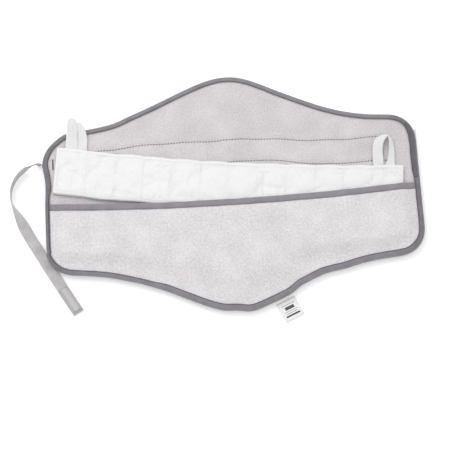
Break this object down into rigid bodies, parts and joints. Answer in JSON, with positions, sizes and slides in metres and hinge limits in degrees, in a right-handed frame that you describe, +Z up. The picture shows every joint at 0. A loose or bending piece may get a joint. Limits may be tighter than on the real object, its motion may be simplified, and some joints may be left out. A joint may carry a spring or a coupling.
{
  "type": "cold compression wrap",
  "caption": "Padded terry wrap, bound at the edge, that folds along its middle. Its pocket holds a segmented cold pack with hanging loops, and a strap at one end closes it.",
  "frame": {"origin": "On the underside of the outer fleece, mid-length, at the fold line (one millimetre inside the pocket half's edge there).", "axes": "+X along the wrap with the strap at -X, +Y from the pocket half to the flap half, +Z up out of the inner, terry-lined face."},
  "size_m": [0.7262, 0.4674, 0.0262],
  "materials": {
    "fleece": "brushed fleece, matt",
    "foam": "open foam, matt",
    "flap_terry": "short terry pile, matt",
    "pocket_terry": "terry pile, matt",
    "binding": "woven bias tape, slight sheen",
    "band": "smooth loop-faced band, matt",
    "webbing": "soft woven tape, matt",
    "canvas": "white cotton canvas, creased",
    "filling": "moist mineral gel",
    "loop_tape": "white twill tape",
    "hook_tape": "fine moulded hooks",
    "label": "blank satin label"
  },
  "bodies": {
    "pocket_half": {"pocket_outer_fleece": "fleece", "pocket_foam_core": "foam", "pocket_inner_terry": "flap_terry", "pocket_panel": "pocket_terry", "pocket_mouth_binding": "binding", "pocket_edge_binding": "binding"},
    "flap_half": {"flap_outer_fleece": "fleece", "flap_foam_core": "foam", "flap_inner_terry": "flap_terry", "flap_edge_binding": "binding", "landing_band": "band", "strap_root_tab": "webbing"},
    "cold_pack": {"pack_back_canvas": "canvas", "pack_front_canvas": "canvas", "pack_fill_01": "filling", "pack_fill_02": "filling", "pack_fill_03": "filling", "pack_fill_04": "filling", "pack_fill_05": "filling", "pack_fill_06": "filling", "pack_fill_07": "filling", "pack_fill_08": "filling", "pack_fill_09": "filling", "pack_fill_10": "filling", "pack_fill_11": "filling", "pack_fill_12": "filling"},
    "left_loop": {"pack_loop_left": "loop_tape"},
    "right_loop": {"pack_loop_right": "loop_tape"},
    "strap": {"closure_strap": "webbing"},
    "strap_end": {"strap_tail": "webbing", "strap_hook_patch": "hook_tape"},
    "label": {"care_label": "label"}
  },
  "joints": [
    {"name": "half_fold", "type": "hinge", "parent": "pocket_half", "child": "flap_half", "pos_m": [0, 0.0015, 0.0153], "axis": [1, 0, 0], "range_deg": [0, 180], "deforming": ["pack_back_canvas", "pack_front_canvas", "pack_fill_01", "pack_fill_02", "pack_fill_03", "pack_fill_04", "pack_fill_05", "pack_fill_06", "pack_fill_07", "pack_fill_08", "pack_fill_09", "pack_fill_10", "pack_fill_11", "pack_fill_12", "pack_loop_left", "pack_loop_right"]},
    {"name": "pack_swing", "type": "hinge", "parent": "pocket_half", "child": "cold_pack", "pos_m": [0.568, 0.049, 0.0099], "axis": [0, 0, 1], "range_deg": [-12, 6.6]},
    {"name": "left_loop_fold", "type": "hinge", "parent": "cold_pack", "child": "left_loop", "pos_m": [-0.27368, 0.09398, 0.0117], "axis": [-0.9831, 0.1833, 0], "range_deg": [-125, 0]},
    {"name": "right_loop_fold", "type": "hinge", "parent": "cold_pack", "child": "right_loop", "pos_m": [0.27029, 0.03104, 0.0117], "axis": [-0.9989, 0.046, 0], "range_deg": [-125, 0]},
    {"name": "strap_swing", "type": "hinge", "parent": "flap_half", "child": "strap", "pos_m": [-0.336, 0.075, 0], "axis": [0, 0, 1], "range_deg": [-100, 8]},
    {"name": "tail_lift", "type": "hinge", "parent": "strap", "child": "strap_end", "pos_m": [-0.31526, -0.14467, -0.0018], "axis": [0.8704, 0.4923, 0], "range_deg": [-110, 0]},
    {"name": "label_flip", "type": "hinge", "parent": "pocket_half", "child": "label", "pos_m": [0.07863, -0.20577, -0.0022], "axis": [-0.9092, -0.4165, 0], "range_deg": [-60, 90]}
  ]
}
